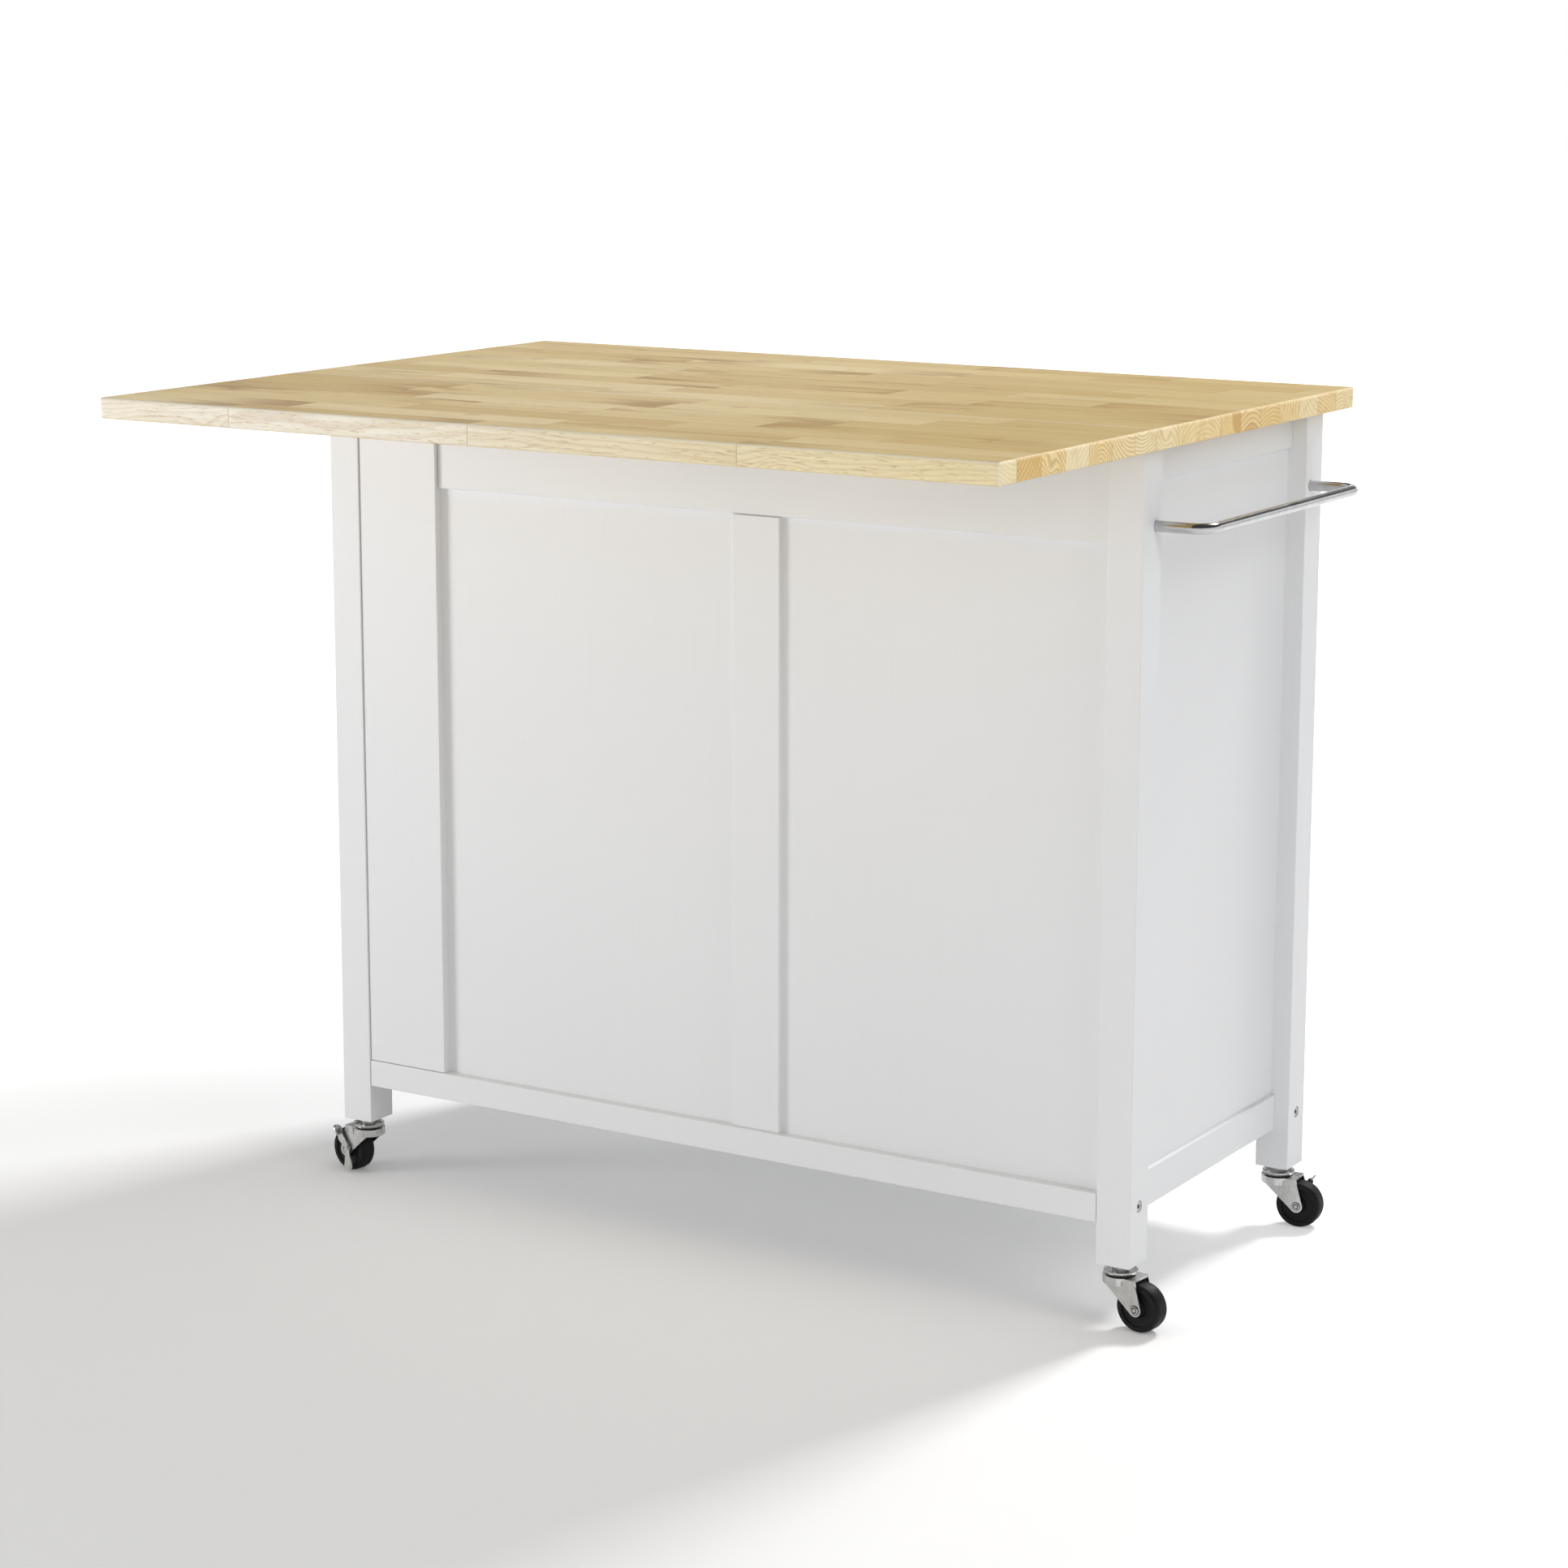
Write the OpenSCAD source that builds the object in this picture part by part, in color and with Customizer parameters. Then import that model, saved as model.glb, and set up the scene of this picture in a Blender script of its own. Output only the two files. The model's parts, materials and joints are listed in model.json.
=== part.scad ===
// Drop leaf kitchen island on casters: a butcher-block worktop with one leaf,
// a painted cabinet with two drawers over two doors, an open rack at one end
// and a towel bar at the other. Seen from the front (-Y), the bar is on the
// left (-X), the rack on the right (+X), and the leaf reaches to the back (+Y).

/* [Worktop] */
// Height from the floor to the top surface
top_height = 914; // [880:1:940]
// Length of the worktop and of the leaf
top_length = 1041; // [1030:1:1100]
// Depth of the fixed worktop, from its front edge to the seam
top_depth = 470; // [460:1:490]
// Depth of the leaf, from the seam to its free edge
leaf_depth = 313.5; // [250:0.5:340]
// Thickness of the worktop and the leaf
top_thick = 22; // [20:1:25]
// Rounding of the outer edges
edge_r = 3; // [2:0.5:4]
// Rounding of the edges that meet at the seam
seam_r = 1.2; // [0.8:0.2:1.6]
// Gap between worktop and leaf
seam_gap = 0.6; // [0.4:0.1:1]
// How far the seam stands behind the back legs
seam_out = 27; // [25:1:30]

/* [Legs] */
// Length over the outer faces of the legs
leg_span = 990; // [980:1:1000]
// Depth over the outer faces of the legs
leg_depth = 424; // [420:1:430]
// Width of a leg along the length of the island
leg_w = 38; // [38:1:40]
// Width of a leg along the depth of the island
leg_d = 40; // [40:1:42]
// Easing of the edges of legs and boards
ease = 1; // [1:0.2:1.6]
// Width of the fine joints between boards that meet in one face
joint_w = 0.8; // [0.6:0.1:0.9]

/* [Frame] */
// Width of the two wide boards that close the rack
wide_board_w = 103; // [100:1:106]
// Thickness of the two wide boards
wide_board_t = 12; // [10:1:14]
// Height of the front and back bottom rails
low_rail_h = 30; // [28:1:32]
// Underside of the bottom rails above the floor
low_rail_z = 110; // [105:1:115]
// Height of the rails at the two ends
end_rail_h = 39; // [36:1:40]
// How far the end rails stand behind the faces of the legs
end_rail_in = 17; // [16:1:18]
// Height of the back top rail
back_rail_h = 97.5; // [90:0.5:100]
// Width of the back centre stile
back_stile_w = 57; // [50:1:60]
// Height of the front top rail
front_rail_h = 30; // [28:1:32]
// Width of the front centre stile
front_stile_w = 38; // [38:1:44]
// Thickness of rails and stiles
rail_t = 18; // [18:1:19]
// Thickness of partitions and shelves
board_t = 15; // [14:1:16]
// Thickness of the back panels
back_panel_t = 5; // [4:1:6]

/* [Doors and drawers] */
// Gap round each door and drawer front
reveal = 2.5; // [2.5:0.1:3]
// Height of a drawer front
drawer_h = 118; // [115:1:120]
// Width of the stiles and rails of a door
door_frame_w = 55; // [50:1:60]
// Thickness of a door panel
door_panel_t = 6; // [5:1:7]
// Diameter of a knob
knob_d = 30; // [26:1:32]
// Projection of a knob
knob_len = 26; // [24:1:28]
// Length of a door hinge
hinge_len = 50; // [45:5:60]
// Height of a drawer box
box_h = 88; // [80:1:90]
// Wall thickness of a drawer box
box_wall = 12; // [10:1:12]

/* [Towel bar] */
// Diameter of the bar
bar_d = 11; // [10:0.5:12]
// Reach of the centre of the bar from the legs
bar_out = 54; // [45:1:60]
// Distance between the two ends of the bar
bar_span = 368; // [364:1:372]
// Height of the bar above the floor
bar_z = 813; // [790:1:820]
// Bend radius at the centre of the bar
bar_bend = 20; // [16:1:24]

/* [Leaf brackets] */
// Distance from the middle bracket to an outer one
bracket_pitch = 330; // [300:5:350]
// Depth of the pivot below the underside of the leaf
pivot_drop = 9; // [9:0.5:10]
// Length of an arm from the pivot
arm_len = 235; // [200:5:240]

/* [Casters] */
// Height of a caster, from the floor to the leg
caster_h = 67; // [67:0.5:69]
// Diameter of a wheel
wheel_d = 50; // [49:0.5:50]
// Width of a wheel
wheel_w = 20; // [18:1:20]
// Trail, from the swivel axis to the axle
trail = 25.5; // [24:0.5:26]

/* [Hidden] */
$fn = 48;
eps = 0.01;
// play between a pin and its bore, on the radius
play = 0.05;
// how far the straight sides of a link lie inside its circles
sink = 0.02;

// the outer faces of the legs; the whole object is centred on the origin.
// turn_out is what the corner of a wheel at 10 degrees adds to its reach
turn_out = 0.1;
reach_left = leg_span / 2 + bar_out + bar_d / 2;
reach_caster = (leg_span - leg_w) / 2 + trail + wheel_d / 2 + turn_out;
reach_right = max(top_length / 2, reach_caster);
cab_x = (reach_left - reach_right) / 2;
front_set = 1;
reach_front = leg_depth - front_set + knob_len;
back_y = (reach_front - seam_out - leaf_depth - seam_gap / 2) / 2;
front_y = back_y - leg_depth;
left_x = cab_x - leg_span / 2;
right_x = cab_x + leg_span / 2;
under_z = top_height - top_thick;
seam_y = back_y + seam_out;
top_front_y = seam_y - seam_gap / 2 - top_depth;
leaf_back_y = seam_y + seam_gap / 2 + leaf_depth;

// cabinet planes
inner_left_x = left_x + leg_w;
inner_right_x = right_x - leg_w;
board_x = inner_right_x - wide_board_w;
floor_z = low_rail_z + low_rail_h;
low_rail_d = leg_d - 2;
stile_mid_x = (inner_left_x + board_x) / 2;
back_rail_y = back_y - 7;
back_stile_y = back_y - 6;
back_stile_t = 12;
back_panel_y = back_y - 12.5;
wide_set = 2;
end_panel_in = end_rail_in + 4.5;
end_panel_t = 12;
front_face_y = front_y + front_set;
front_back_y = front_face_y + rail_t;
end_rail_top_z = under_z - end_rail_h;
end_rail_low_z = low_rail_z + 0.5;

// fine joints: their depth, and the width of the one over a centre stile
joint_d = 4;
joint_top_w = joint_w + 0.35;

// openings in the front frame, left and right: [x from, x to]
bays = [
    [inner_left_x, stile_mid_x - front_stile_w / 2],
    [stile_mid_x + front_stile_w / 2, board_x],
];
part_faces = [stile_mid_x - board_t / 2, stile_mid_x + board_t / 2];
drawer_top_z = under_z - front_rail_h - reveal;
drawer_low_z = drawer_top_z - drawer_h;
door_low_z = floor_z + reveal;
door_top_z = drawer_low_z - reveal - 1.5;

// drawers and their runners
box_low_z = drawer_low_z + 10;
box_back_y = back_y - 65;
box_gap = 0.6;
runner_t = 12;
runner_h = 30;
runner_z = box_low_z + 28;
groove_h = 12;
groove_d = 8;
runner_front_y = front_back_y + 1;
runner_back_y = back_y - 26;
strip_play = 0.4;

// shelves
shelf_z = 430;
shelf_back_y = back_y - 20;
shelf_front_y = front_back_y + 10;
pin_d = 5;
pin_len = 14;
pin_ys = [back_y - 32, front_y + 34];
rack_x = board_x + board_t;
rack_out_x = right_x - end_rail_in;
rack_zs = [385, 635];
rack_t = 12;
fence_t = 10;
fence_h = 22;
fence_up = 28;

// door hinges
hinge_r = 3;
hinge_pin_r = 1.5;
hinge_plate_t = 1;
hinge_out = 3.5;
hinge_plate_d = 20;
hinge_pin_in = 1.25;
hinge_zs = [door_low_z + 80, door_top_z - 80];

// bolts through the feet of the legs
bolt_z = low_rail_z + low_rail_h / 2 + 3;
bolt_head_d = 10;
bolt_recess_d = 12.6;
bolt_recess = 5;
bolt_d = 6;

// leaf brackets
pivot_z = under_z - pivot_drop;
drum_r = pivot_drop - 1;
pivot_r = 3;
bracket_xs = [for (k = [-1:1]) cab_x - 25 + k * bracket_pitch];
cheek_in = 11;
cheek_t = 3;
arm_w = 20;

// casters, in a frame whose +X is the trailing side and +Z is up
wheel_r = wheel_d / 2;
fork_top_z = caster_h - 12;
fork_t = 2;
cheek_out = wheel_w / 2 + 4;
dome_r = 18.5;
stem_r = 5;
stem_len = 35;
axle_r = 3;
king_r = 4;
brake_pin = [trail - 7, wheel_r + 4.5];
brake_pin_r = 1.5;
brake_v = cheek_out + 2;
brake_t = 1.6;
// [leg centre x, leg centre y, angle of the trailing side]
casters = [
    [left_x + leg_w / 2, front_y + leg_d / 2, 185],
    [right_x - leg_w / 2, front_y + leg_d / 2, 10],
    [left_x + leg_w / 2, back_y - leg_d / 2, 174],
    [right_x - leg_w / 2, back_y - leg_d / 2, 350],
];

wood = "burlywood";
paint = "whitesmoke";
steel = "silver";
zinc = "lightsteelblue";
black = "dimgray";

// ---------- shared shapes ----------

// a box between two corners
module block(a, b) {
    translate(a)
        cube(b - a);
}

// a rectangle with round corners, its low corner at the origin
module round_rect(w, h, r) {
    translate([r, 0])
        square([w - 2 * r, h]);
    translate([0, r])
        square([w, h - 2 * r]);
    for (x = [r, w - r], y = [r, h - r])
        translate([x, y])
            circle(r);
}

// a board between two corners, with all of its edges eased
module eased(a, b, r = ease) {
    s = b - a;
    translate(a)
        intersection() {
            linear_extrude(s.z)
                round_rect(s.x, s.y, r);
            rotate([90, 0, 90])
                linear_extrude(s.x)
                    round_rect(s.y, s.z, r);
            translate([0, s.y, 0])
                rotate([90, 0, 0])
                    linear_extrude(s.y)
                        round_rect(s.x, s.z, r);
        }
}

// lays a flat shape, drawn in Y and Z, across X from x0 to x1
module across_x(x0, x1) {
    translate([x0, 0, 0])
        rotate([90, 0, 90])
            linear_extrude(x1 - x0)
                children();
}

// lays a flat shape, drawn in X and Z, across Y from y0 to y1
module across_y(y0, y1) {
    translate([0, y1, 0])
        rotate([90, 0, 0])
            linear_extrude(y1 - y0)
                children();
}

// a rod along X from x0 to x1
module rod_x(x0, x1, r) {
    translate([x0, 0, 0])
        rotate([0, 90, 0])
            cylinder(h = x1 - x0, r = r);
}

// a rod along Y from y0 to y1
module rod_y(y0, y1, r) {
    translate([0, y1, 0])
        rotate([90, 0, 0])
            cylinder(h = y1 - y0, r = r);
}

// where the line that touches two circles [x, y, r] meets circle a or b, but
// just inside it, so that the side crosses the circle and leaves no sliver
function touch(a, b, at, side) =
    let (d = [b.x - a.x, b.y - a.y])
    let (turn = atan2(d.y, d.x) + side * acos((a.z - b.z) / norm(d)))
    let (r = at.z - sink)
    [at.x + r * cos(turn), at.y + r * sin(turn)];

// two circles [x, y, r] and the straight sides that touch both
module link(a, b) {
    for (c = [a, b])
        translate([c.x, c.y])
            circle(c.z);
    polygon([touch(a, b, a, 1), touch(a, b, b, 1),
             touch(a, b, b, -1), touch(a, b, a, -1)]);
}

// a flat bar that runs through a list of circles
module chain(circles) {
    for (k = [0:len(circles) - 2])
        link(circles[k], circles[k + 1]);
}

// ---------- worktop and leaf ----------

// a rectangle with corners of edge_r, and finer ones on the side of the seam;
// seam is the direction to it, such as [1, 0]
module seam_rect(w, h, seam) {
    intersection() {
        translate([min(seam.x, 0) * edge_r, min(seam.y, 0) * edge_r])
            round_rect(w + abs(seam.x) * edge_r, h + abs(seam.y) * edge_r, edge_r);
        round_rect(w, h, seam_r);
    }
}

// a slab from y0 to y1; side is +1 or -1, towards the seam
module top_slab(y0, y1, side) {
    low_x = cab_x - top_length / 2;
    intersection() {
        across_x(low_x, low_x + top_length)
            translate([y0, under_z])
                seam_rect(y1 - y0, top_thick, [side, 0]);
        across_y(y0, y1)
            translate([low_x, under_z])
                round_rect(top_length, top_thick, edge_r);
        translate([low_x, y0, under_z])
            linear_extrude(top_thick)
                seam_rect(top_length, y1 - y0, [0, side]);
    }
}

module worktop() {
    color(wood)
        top_slab(top_front_y, seam_y - seam_gap / 2, 1);
}

module drop_leaf() {
    color(wood)
        top_slab(seam_y + seam_gap / 2, leaf_back_y, -1);
}

// ---------- leaf brackets ----------

// plate and two cheeks, screwed to the back top rail
module leaf_bracket(x) {
    plate_y = back_rail_y + cheek_t;
    low_z = under_z - 36;
    block([x - 22, back_rail_y, low_z], [x + 22, plate_y, under_z - 2]);
    difference() {
        for (s = [-1, 1])
            across_x(x + s * (cheek_in + cheek_t / 2) - cheek_t / 2,
                     x + s * (cheek_in + cheek_t / 2) + cheek_t / 2) {
                link([seam_y, pivot_z, drum_r], [back_rail_y + 6, pivot_z, drum_r]);
                link([seam_y, pivot_z, drum_r], [back_rail_y + 6, low_z + 7, 5]);
                polygon([[back_rail_y + 1, low_z + 2], [back_rail_y + 6, low_z + 2],
                         [seam_y, pivot_z], [back_rail_y + 6, under_z - 2],
                         [back_rail_y + 1, under_z - 2]]);
            }
        translate([0, seam_y, pivot_z])
            rod_x(x - 20, x + 20, pivot_r);
        block([x - 20, back_rail_y - 12, under_z - 60], [x + 20, back_rail_y, under_z]);
    }
}

module leaf_brackets() {
    color(steel)
        for (x = bracket_xs)
            leaf_bracket(x);
}

// drum on the pivot, flat bar under the leaf, and a tapering rib
module leaf_arm(x) {
    bar_t = 3;
    rib_t = 4;
    end_y = seam_y + arm_len;
    difference() {
        union() {
            translate([0, seam_y, pivot_z])
                rod_x(x - cheek_in + 0.4, x + cheek_in - 0.4, drum_r);
            block([x - arm_w / 2, seam_y + 1, under_z - bar_t],
                  [x + arm_w / 2, end_y, under_z]);
            across_x(x - rib_t / 2, x + rib_t / 2)
                polygon([[seam_y, pivot_z - 6], [seam_y + 20, pivot_z - 5],
                         [end_y - 6, under_z - bar_t - 3],
                         [end_y - 6, under_z - bar_t / 2],
                         [seam_y, under_z - bar_t / 2]]);
        }
        translate([0, seam_y, pivot_z])
            rod_x(x - cheek_in, x + cheek_in, pivot_r + play);
    }
}

module leaf_arms() {
    color(steel)
        for (x = bracket_xs)
            leaf_arm(x);
}

module leaf_pivot_pins() {
    half = cheek_in + cheek_t;
    color(zinc)
        for (x = bracket_xs)
            translate([0, seam_y, pivot_z]) {
                rod_x(x - half, x + half, pivot_r);
                rod_x(x - half - 1.5, x - half, pivot_r + 2);
                rod_x(x + half, x + half + 1.5, pivot_r + 2);
            }
}

// ---------- legs and their fasteners ----------

// a leg between x0 and y0, with the bores that it needs;
// out_x is +1 or -1, towards the nearer end of the island
module leg(x0, y0, out_x, shelf_pin = false) {
    mid = [x0 + leg_w / 2, y0 + leg_d / 2];
    face_x = out_x > 0 ? x0 + leg_w : x0;
    bar_y = (front_y + back_y) / 2 + sign(mid.y - (front_y + back_y) / 2) * bar_span / 2;
    color(paint)
        difference() {
            eased([x0, y0, caster_h], [x0 + leg_w, y0 + leg_d, under_z]);
            translate([mid.x, mid.y, caster_h - 1])
                cylinder(h = stem_len + 2, r = stem_r + play);
            translate([0, mid.y, bolt_z]) {
                rod_x(x0 - 1, x0 + leg_w + 1, bolt_d / 2 + 0.2);
                rod_x(face_x - bolt_recess, face_x + bolt_recess, bolt_recess_d / 2);
            }
            if (out_x < 0)
                translate([0, bar_y, bar_z])
                    rod_x(x0 - 1, x0 + 10, bar_d / 2 + 0.3);
            if (shelf_pin)
                for (y = pin_ys)
                    translate([0, y, shelf_z - pin_d / 2])
                        rod_x(x0 + leg_w - pin_len / 2, x0 + leg_w + 1, pin_d / 2 + play);
        }
}

module front_left_leg() {
    leg(left_x, front_y, -1, true);
}

module front_right_leg() {
    leg(inner_right_x, front_y, 1);
}

module back_left_leg() {
    leg(left_x, back_y - leg_d, -1, true);
}

module back_right_leg() {
    leg(inner_right_x, back_y - leg_d, 1);
}

// hex socket bolts through the legs into the bottom rails
module leg_bolts() {
    head_t = 4;
    shaft = leg_w - bolt_recess + 24;
    color(zinc)
        for (c = casters) {
            s = c.x < cab_x ? -1 : 1;
            translate([c.x + s * (leg_w / 2 - bolt_recess), c.y, bolt_z])
                rotate([0, s * 90, 0])
                    difference() {
                        union() {
                            cylinder(h = head_t, d = bolt_head_d);
                            translate([0, 0, -shaft])
                                cylinder(h = shaft, d = bolt_d);
                        }
                        translate([0, 0, 1.5])
                            cylinder(h = head_t, d = 5.8, $fn = 6);
                    }
        }
}

// ---------- back ----------

// a fine joint, cut from x0 to x1 and z0 to z1 into a face at y;
// out is +1 for a face at the back and -1 for one at the front
module joint(x0, x1, z0, z1, y, out) {
    block([x0, y - (out > 0 ? joint_d : 1), z0], [x1, y + (out > 0 ? 1 : joint_d), z1]);
}

// a top rail with its outer face at y
module top_rail(y, out, h) {
    y0 = out > 0 ? y - rail_t : y;
    color(paint)
        difference() {
            eased([inner_left_x, y0, under_z - h], [board_x, y0 + rail_t, under_z]);
            joint(board_x - joint_w, board_x + 1, under_z - h - 1, under_z + 1, y, out);
        }
}

// a bottom rail with its outer face at y, drilled at both ends for the leg bolts
module bottom_rail(y, out) {
    y0 = out > 0 ? y - low_rail_d : y;
    z1 = low_rail_z + low_rail_h;
    color(paint)
        difference() {
            eased([inner_left_x, y0, low_rail_z], [inner_right_x, y0 + low_rail_d, z1]);
            for (x = [inner_left_x, inner_right_x - 26])
                translate([0, y0 + low_rail_d / 2, bolt_z])
                    rod_x(x - 1, x + 27, bolt_d / 2 + play);
            joint(inner_left_x - 1, inner_left_x + joint_w, low_rail_z - 1, z1 + 1, y, out);
            joint(inner_right_x - joint_w, inner_right_x + 1, low_rail_z - 1, z1 + 1, y, out);
        }
}

// a wide board that closes the rack, with its outer face at y
module wide_board(y, out) {
    y0 = out > 0 ? y - wide_board_t : y;
    color(paint)
        difference() {
            eased([board_x, y0, floor_z], [inner_right_x, y0 + wide_board_t, under_z]);
            joint(inner_right_x - joint_w, inner_right_x + 1, floor_z - 1, under_z + 1, y, out);
            joint(board_x - 1, inner_right_x + 1, floor_z - 1, floor_z + joint_w, y, out);
        }
}

// a centre stile of width w and thickness t, under a top rail of height h
module centre_stile(w, t, h, y, out) {
    y0 = out > 0 ? y - t : y;
    x0 = stile_mid_x - w / 2;
    z1 = under_z - h;
    color(paint)
        difference() {
            eased([x0, y0, floor_z], [x0 + w, y0 + t, z1]);
            joint(x0 - 1, x0 + w + 1, z1 - joint_top_w, z1 + 1, y, out);
        }
}

module back_top_rail() {
    top_rail(back_rail_y, 1, back_rail_h);
}

module back_bottom_rail() {
    bottom_rail(back_y - 1, 1);
}

module back_wide_board() {
    wide_board(back_y - wide_set, 1);
}

module back_centre_stile() {
    centre_stile(back_stile_w, back_stile_t, back_rail_h, back_stile_y, 1);
}

// a thin panel between two upright edges
module back_panel(x0, x1) {
    color(paint)
        block([x0, back_panel_y - back_panel_t, floor_z],
              [x1, back_panel_y, under_z - back_rail_h]);
}

module back_panel_left() {
    back_panel(inner_left_x, stile_mid_x - back_stile_w / 2);
}

module back_panel_right() {
    back_panel(stile_mid_x + back_stile_w / 2, board_x);
}

// ---------- ends ----------

module end_panel() {
    color(paint)
        block([left_x + end_panel_in, front_y + leg_d, end_rail_low_z + end_rail_h],
              [left_x + end_panel_in + end_panel_t, back_y - leg_d, end_rail_top_z]);
}

// the same rail between the legs at both ends
module end_rails(z) {
    color(paint)
        for (x = [left_x + end_rail_in, right_x - end_rail_in - rail_t])
            eased([x, front_y + leg_d, z], [x + rail_t, back_y - leg_d, z + end_rail_h]);
}

module end_top_rails() {
    end_rails(end_rail_top_z);
}

module end_bottom_rails() {
    end_rails(end_rail_low_z);
}

// ---------- front ----------

module front_top_rail() {
    top_rail(front_face_y, -1, front_rail_h);
}

module front_bottom_rail() {
    bottom_rail(front_face_y, -1);
}

module front_wide_board() {
    wide_board(front_y + wide_set, -1);
}

module front_centre_stile() {
    centre_stile(front_stile_w, rail_t, front_rail_h, front_face_y, -1);
}

// ---------- inside ----------

module cabinet_floor() {
    rail_in = 1 + low_rail_d;
    color(paint) {
        block([inner_left_x, front_y + rail_in, floor_z - board_t],
              [inner_right_x, back_y - rail_in, floor_z]);
        block([left_x + end_rail_in + rail_t, front_y + leg_d, floor_z - board_t],
              [right_x - end_rail_in - rail_t, back_y - leg_d, floor_z]);
    }
}

module centre_partition() {
    color(paint)
        difference() {
            block([part_faces[0], front_back_y, floor_z],
                  [part_faces[1], back_y - 25, under_z]);
            for (y = pin_ys)
                translate([0, y, shelf_z - pin_d / 2])
                    rod_x(part_faces[0] - 1, part_faces[1] + 1, pin_d / 2 + play);
        }
}

module end_partition() {
    color(paint)
        difference() {
            block([board_x, front_y + wide_set + wide_board_t, floor_z],
                  [rack_x, back_y - wide_set - wide_board_t, under_z]);
            for (y = pin_ys)
                translate([0, y, shelf_z - pin_d / 2])
                    rod_x(board_x - 1, board_x + pin_len / 2, pin_d / 2 + play);
        }
}

// a shelf of the rack, cut round the legs, with its fence
module rack_shelf(z) {
    board_in = wide_set + wide_board_t;
    color(paint) {
        block([rack_x, front_y + board_in, z],
              [inner_right_x, back_y - board_in, z + rack_t]);
        block([inner_right_x, front_y + leg_d, z],
              [rack_out_x, back_y - leg_d, z + rack_t]);
        eased([rack_out_x - fence_t, front_y + leg_d, z + rack_t + fence_up],
              [rack_out_x, back_y - leg_d, z + rack_t + fence_up + fence_h]);
    }
}

module rack_lower_shelf() {
    rack_shelf(rack_zs[0]);
}

module rack_upper_shelf() {
    rack_shelf(rack_zs[1]);
}

// a loose shelf that lies on its four pins
module loose_shelf(x0, x1) {
    color(paint)
        block([x0 + 2, shelf_front_y, shelf_z], [x1 - 2, shelf_back_y, shelf_z + board_t]);
}

module left_shelf() {
    loose_shelf(inner_left_x, part_faces[0]);
}

module right_shelf() {
    loose_shelf(part_faces[1], board_x);
}

module shelf_pins() {
    out = pin_len / 2;
    color(zinc)
        for (y = pin_ys)
            translate([0, y, shelf_z - pin_d / 2]) {
                rod_x(inner_left_x - out, inner_left_x + out, pin_d / 2);
                rod_x(part_faces[0] - out, part_faces[1] + out, pin_d / 2);
                rod_x(board_x - out, board_x + out, pin_d / 2);
            }
}

// ---------- drawers ----------

// a wooden runner from x0 to x1 with a groove on its side face_x
module runner(x0, x1, face_x) {
    difference() {
        block([x0, runner_front_y, runner_z], [x1, runner_back_y, runner_z + runner_h]);
        block([face_x - groove_d, runner_front_y - 1, runner_z + (runner_h - groove_h) / 2],
              [face_x + groove_d, runner_back_y + 1, runner_z + (runner_h + groove_h) / 2]);
    }
}

module drawer_runners() {
    color(wood) {
        runner(inner_left_x, bays[0][0] + runner_t, bays[0][0] + runner_t);
        runner(bays[0][1] - runner_t, part_faces[0], bays[0][1] - runner_t);
        runner(part_faces[1], bays[1][0] + runner_t, bays[1][0] + runner_t);
        runner(bays[1][1] - runner_t, board_x, bays[1][1] - runner_t);
    }
}

module drawer_front(bay) {
    color(paint)
        eased([bay[0] + reveal, front_face_y, drawer_low_z],
              [bay[1] - reveal, front_back_y, drawer_top_z]);
}

// open box with a bottom let into its walls and a strip on each side
module drawer_box(bay) {
    x0 = bay[0] + runner_t + box_gap;
    x1 = bay[1] - runner_t - box_gap;
    bottom_t = 6;
    lift = 8;
    strip_z = runner_z + (runner_h - groove_h) / 2 + strip_play;
    strip_w = groove_d - strip_play;
    color(wood) {
        difference() {
            block([x0, front_back_y, box_low_z], [x1, box_back_y, box_low_z + box_h]);
            block([x0 + box_wall, front_back_y + box_wall, box_low_z + lift],
                  [x1 - box_wall, box_back_y - box_wall, box_low_z + box_h + 1]);
            block([x0 + box_wall, front_back_y + box_wall, box_low_z - 1],
                  [x1 - box_wall, box_back_y - box_wall, box_low_z + lift - bottom_t]);
        }
        for (x = [x0 - strip_w, x1])
            block([x, front_back_y, strip_z],
                  [x + strip_w, box_back_y, strip_z + groove_h - 2 * strip_play]);
    }
}

module left_drawer_front() {
    drawer_front(bays[0]);
}

module left_drawer_box() {
    drawer_box(bays[0]);
}

module right_drawer_front() {
    drawer_front(bays[1]);
}

module right_drawer_box() {
    drawer_box(bays[1]);
}

// a turned knob on the front face
module knob(x, z) {
    r = knob_d / 2;
    rim = 4;
    color(steel)
        translate([x, front_face_y, z])
            rotate([90, 0, 0])
                rotate_extrude()
                    polygon([
                        [0, 0], [9, 0], [9, 2], [5.5, 4.5], [5, knob_len - 13],
                        [7, knob_len - 10], [r - 1.5, knob_len - rim - 3],
                        [r, knob_len - rim - 1], [r, knob_len - rim],
                        [r - 1.2, knob_len - 2.2], [r - 5, knob_len - 0.7],
                        [r - 10, knob_len - 0.1], [0, knob_len],
                    ]);
}

module left_drawer_knob() {
    knob((bays[0][0] + bays[0][1]) / 2, (drawer_low_z + drawer_top_z) / 2);
}

module right_drawer_knob() {
    knob((bays[1][0] + bays[1][1]) / 2, (drawer_low_z + drawer_top_z) / 2);
}

// ---------- doors ----------

module door_frame(bay) {
    a = [bay[0] + reveal, front_face_y, door_low_z];
    b = [bay[1] - reveal, front_back_y, door_top_z];
    inset = [door_frame_w, 0, door_frame_w];
    color(paint)
        difference() {
            eased(a, b);
            block(a + inset - [0, 1, 0], b - inset + [0, 1, 0]);
        }
}

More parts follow.
